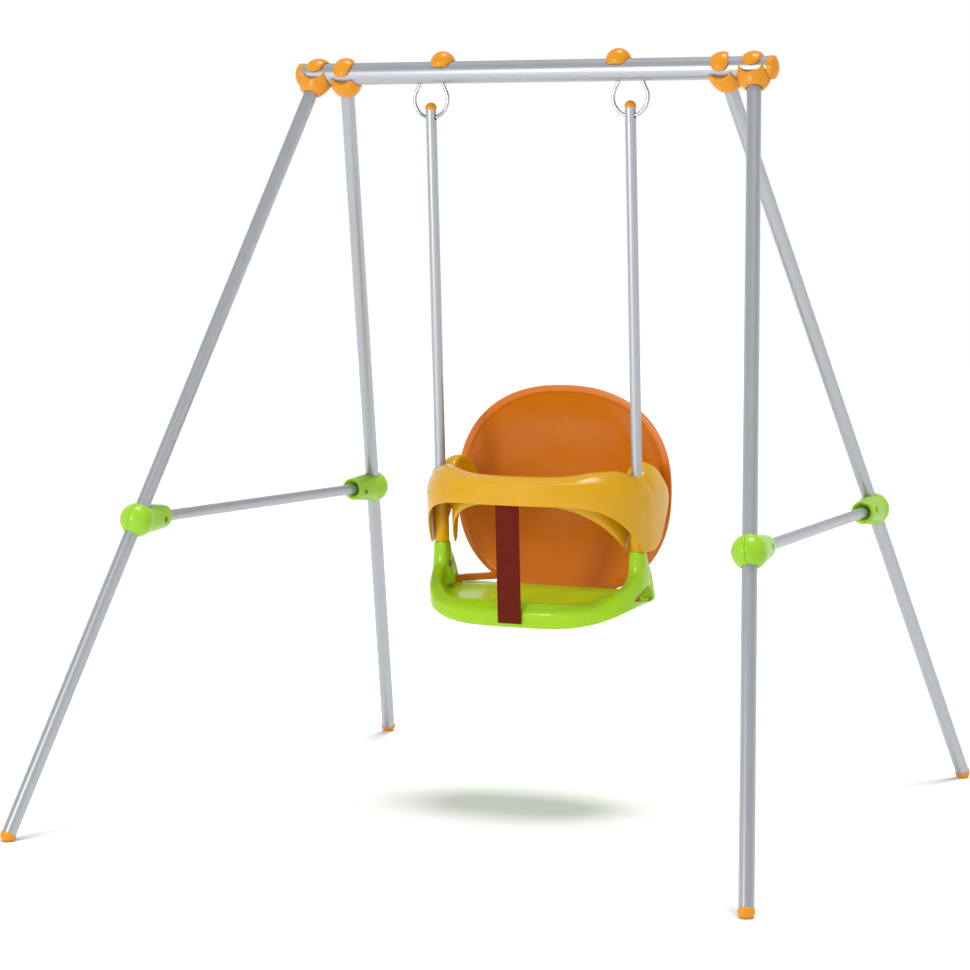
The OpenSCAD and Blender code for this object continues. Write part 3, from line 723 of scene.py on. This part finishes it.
def make_backrest():
    angles = np.linspace(0, 2 * math.pi, 160, endpoint=False)
    across = list(np.linspace(0.02, 0.9, 26)) + list(np.linspace(0.915, RIM_START, 12))
    front = np.array([[back_surface(p, t) for t in angles] for p in across])
    rim = np.array([back_surface(1.0, t) for t in angles])
    out = rim - front[-1]
    out /= np.linalg.norm(out, axis=1)[:, None]
    rows = list(front)
    for a in np.linspace(0, math.pi, 9)[1:-1]:
        roll = np.array((0, BACK_THICK / 2 * (1 - math.cos(a)), 0))
        rows.append(rim - out * (2 - 2 * math.sin(a)) + roll)
    rows += list(front[::-1] + (0, BACK_THICK, 0))
    parts = [loft(rows)]
    for side in (-1, 1):
        parts.append(loft([[(side * x, y, z) for x, y in mirrored(LUG, side)] for z in LUG_Z]))
        parts.append(loft([[(side * x, y, z) for y, z in mirrored(BARBS, side)] for x in BARBS_X]))
    back = mesh_object("backrest_moulding", *merge(*parts))
    back.data.set_sharp_from_angle(angle=math.radians(50))
    finish_piece(back, "swing", "back_orange", "backrest")


# ---- crotch strap ----

STRAP_W, STRAP_T, STRAP_Y = 40.0, 2.0, -117.0
# Its free stretch below the guard, and the pin it hangs from, with a little room
STRAP_TOP, STRAP_LEN = -600.0, 184.0
PIN_Y, PIN_Z, PIN_R = STRAP_Y + 4.05, -576.0, 3.05


def make_strap():
    """One length of webbing: round the pin, down through the guard and on to the seat's front."""
    middle = PIN_R + STRAP_T / 2
    line = [(PIN_Y + middle * math.sin(a), PIN_Z - middle * math.cos(a))
            for a in np.linspace(0.15, 1.5 * math.pi, 22)]
    line += [(STRAP_Y, z) for z in np.linspace(PIN_Z - 1, STRAP_TOP - STRAP_LEN, 74)]
    line = np.array(line)
    way = np.gradient(line, axis=0)
    way /= np.linalg.norm(way, axis=1)[:, None]
    side = np.stack([way[:, 1], -way[:, 0]], 1)
    across = np.linspace(-0.5, 0.5, 15)
    # Half of the thickness, thinner at the woven edges
    half = STRAP_T / 2 * (1 - 0.55 * np.abs(2 * across) ** 6)
    rows = []
    for (y, z), (ny, nz) in zip(line, side):
        face = [(STRAP_W * a, y + ny * b, z + nz * b) for a, b in zip(across, half)]
        back = [(STRAP_W * a, y - ny * b, z - nz * b) for a, b in zip(across, half)]
        rows.append(face + back[::-1])
    strap = mesh_object("strap_webbing", *loft(rows))
    strap.data.set_sharp_from_angle(angle=math.radians(60))
    finish_piece(strap, None, "webbing", "strap", "strap_anchor")
    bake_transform(strap)


# ---- hubs ----

# In millimetres about the point where a hub sits on the bar's axis.
# By end: which way the leg leans, distance from the middle, how far forward the cap and the
# scoop in the saddle reach, and the rim's height above the bar's axis along the leg
HUBS = {"front": (-1, 373.0, math.radians(41), math.radians(60), 7.5),
        "rear": (1, 323.0, math.radians(66), math.radians(86), -0.5)}
BAR_Z, BAR_R = 1166.0, 17.5
SPLAY_X, SPREAD_Y = 221.0, 587.0
# The ball that saddle and cap come from, and the egg it is drawn out to along bar and leg
HUB_R, HUB_CAP_R = 24.6, 25.6
HUB_WIDE, HUB_LONG, HUB_END = 28.8, 43.0, 36.0
# Half widths of the cap and of the scoop round it, and the level where the saddle's horns end
CAP_HALF, SCOOP_HALF = 16.0, 20.0
HORN_TOP = 11.0
LEG_HOLE, LEG_FROM = 11.2, 26.0
BAR_ROOM = 0.15
SEAM_HALF = 0.2
HUB_CELL = 1.0
HUB_LOW, HUB_HIGH = (-34.0, -34.0, -42.0), (38, 34, 30)


def hub_fields(lean, cap_at, scoop_at, rim):
    """Fields of the two shells and the cap of a right-hand hub, negative in the material."""
    x, y, z = grid_between(HUB_LOW, HUB_HIGH, HUB_CELL)
    grid = np.stack([x, y, z], -1)
    leg = np.array((SPLAY_X, lean * SPREAD_Y, -BAR_Z))
    leg /= np.linalg.norm(leg)

    def from_arc(forward):
        """Distance from an arc on the ball, from above the leg towards the front."""
        last = np.array((0.0, -math.sin(forward), math.cos(forward)))
        arc = [lerp(-leg, last, t) for t in np.linspace(0, 1, 9)]
        arc = [HUB_R * a / np.linalg.norm(a) for a in arc]
        return np.min([np.linalg.norm(grid - a, axis=-1) for a in arc], axis=0)

    def round_leg(points):
        """Distance along the leg's axis and away from it."""
        along = points @ leg
        return along, np.sqrt(np.maximum((points ** 2).sum(-1) - along ** 2, 0))

    from_bar = np.hypot(y, z) - BAR_R - BAR_ROOM
    along, aside = round_leg(grid)
    down, away = round_leg(grid * (HUB_R / HUB_WIDE, 1, 1))
    egg = np.hypot(away, down * np.where(down > 0, HUB_R / HUB_LONG, 1)) - HUB_R
    saddle = smooth_max(smooth_max(egg, along - HUB_END, 2), -along - rim, 1)
    saddle = smooth_max(np.maximum(saddle, z - HORN_TOP), SCOOP_HALF - from_arc(scoop_at), 1.5)
    saddle = smooth_max(saddle, -from_bar, 1)
    saddle = smooth_max(saddle, -np.maximum(aside - LEG_HOLE, LEG_FROM - along), 0.6)
    ball = np.linalg.norm(grid, axis=-1) - HUB_CAP_R
    # The shells meet in the plane through the bar's axis and the leg
    seam = y * leg[2] - z * leg[1]
    return {"shell_a": smooth_max(saddle, SEAM_HALF - seam, 0.8),
            "shell_b": smooth_max(saddle, seam + SEAM_HALF, 0.8),
            "cap": smooth_max(smooth_max(ball, from_arc(cap_at) - CAP_HALF, 3), -from_bar, 0.8)}


def make_hubs():
    for end, (lean, far, *shape) in HUBS.items():
        for part, field in hub_fields(lean, *shape).items():
            verts, faces = surface_net(field, HUB_LOW, HUB_CELL)
            for side, word in ((-1, "left"), (1, "right")):
                name = f"hub_{part}_{end}_{word}"
                place = Matrix.Translation((side * far * MM, 0, BAR_Z * MM)) @ Matrix.Scale(MM, 4)
                piece = mesh_object(name + "_moulding", verts * (side, 1, 1), faces[:, ::side], place)
                smooth_mesh(piece, 3)
                finish_piece(piece, "frame", "orange_plastic", name)


# ---- moulded joints and caps: the CAD shapes with soft edges ----

WELD = 0.00001
# Voxel in millimetres and rounds of smoothing, for the joints and for the small caps
JOINT_SOFT, CAP_SOFT = (1.1, 4), (0.9, 3)


def soften(node, body, slot, voxel, rounds):
    """A copy of a CAD node with its edges rounded, in its place."""
    mesh = NODES[node].data.copy()
    joined = bmesh.new()
    joined.from_mesh(mesh)
    bmesh.ops.remove_doubles(joined, verts=joined.verts, dist=WELD)
    joined.to_mesh(mesh)
    joined.free()
    obj = bpy.data.objects.new(node + "_moulding", mesh)
    bpy.context.collection.objects.link(obj)
    remesh = obj.modifiers.new("remesh", "REMESH")
    remesh.mode = "VOXEL"
    remesh.voxel_size = voxel * MM
    apply_modifiers(obj)
    smooth_mesh(obj, rounds)
    finish_piece(obj, body, slot, node)


def soften_mouldings():
    slots = {row["node"]: row["material_slot"] for row in frame["record"]["subparts"]}
    for body, members in frame["record"]["behaviour"]["bodies"].items():
        for node in members:
            if node.startswith("joint_"):
                soften(node, body, slots[node], *JOINT_SOFT)
            elif "cap" in node and not node.startswith("hub_"):
                soften(node, body, slots[node], *CAP_SOFT)


make_camera()
make_light()
make_floor()
paint_nodes()
soften_mouldings()
make_hubs()
make_guard()
make_seat()
make_backrest()
make_strap()
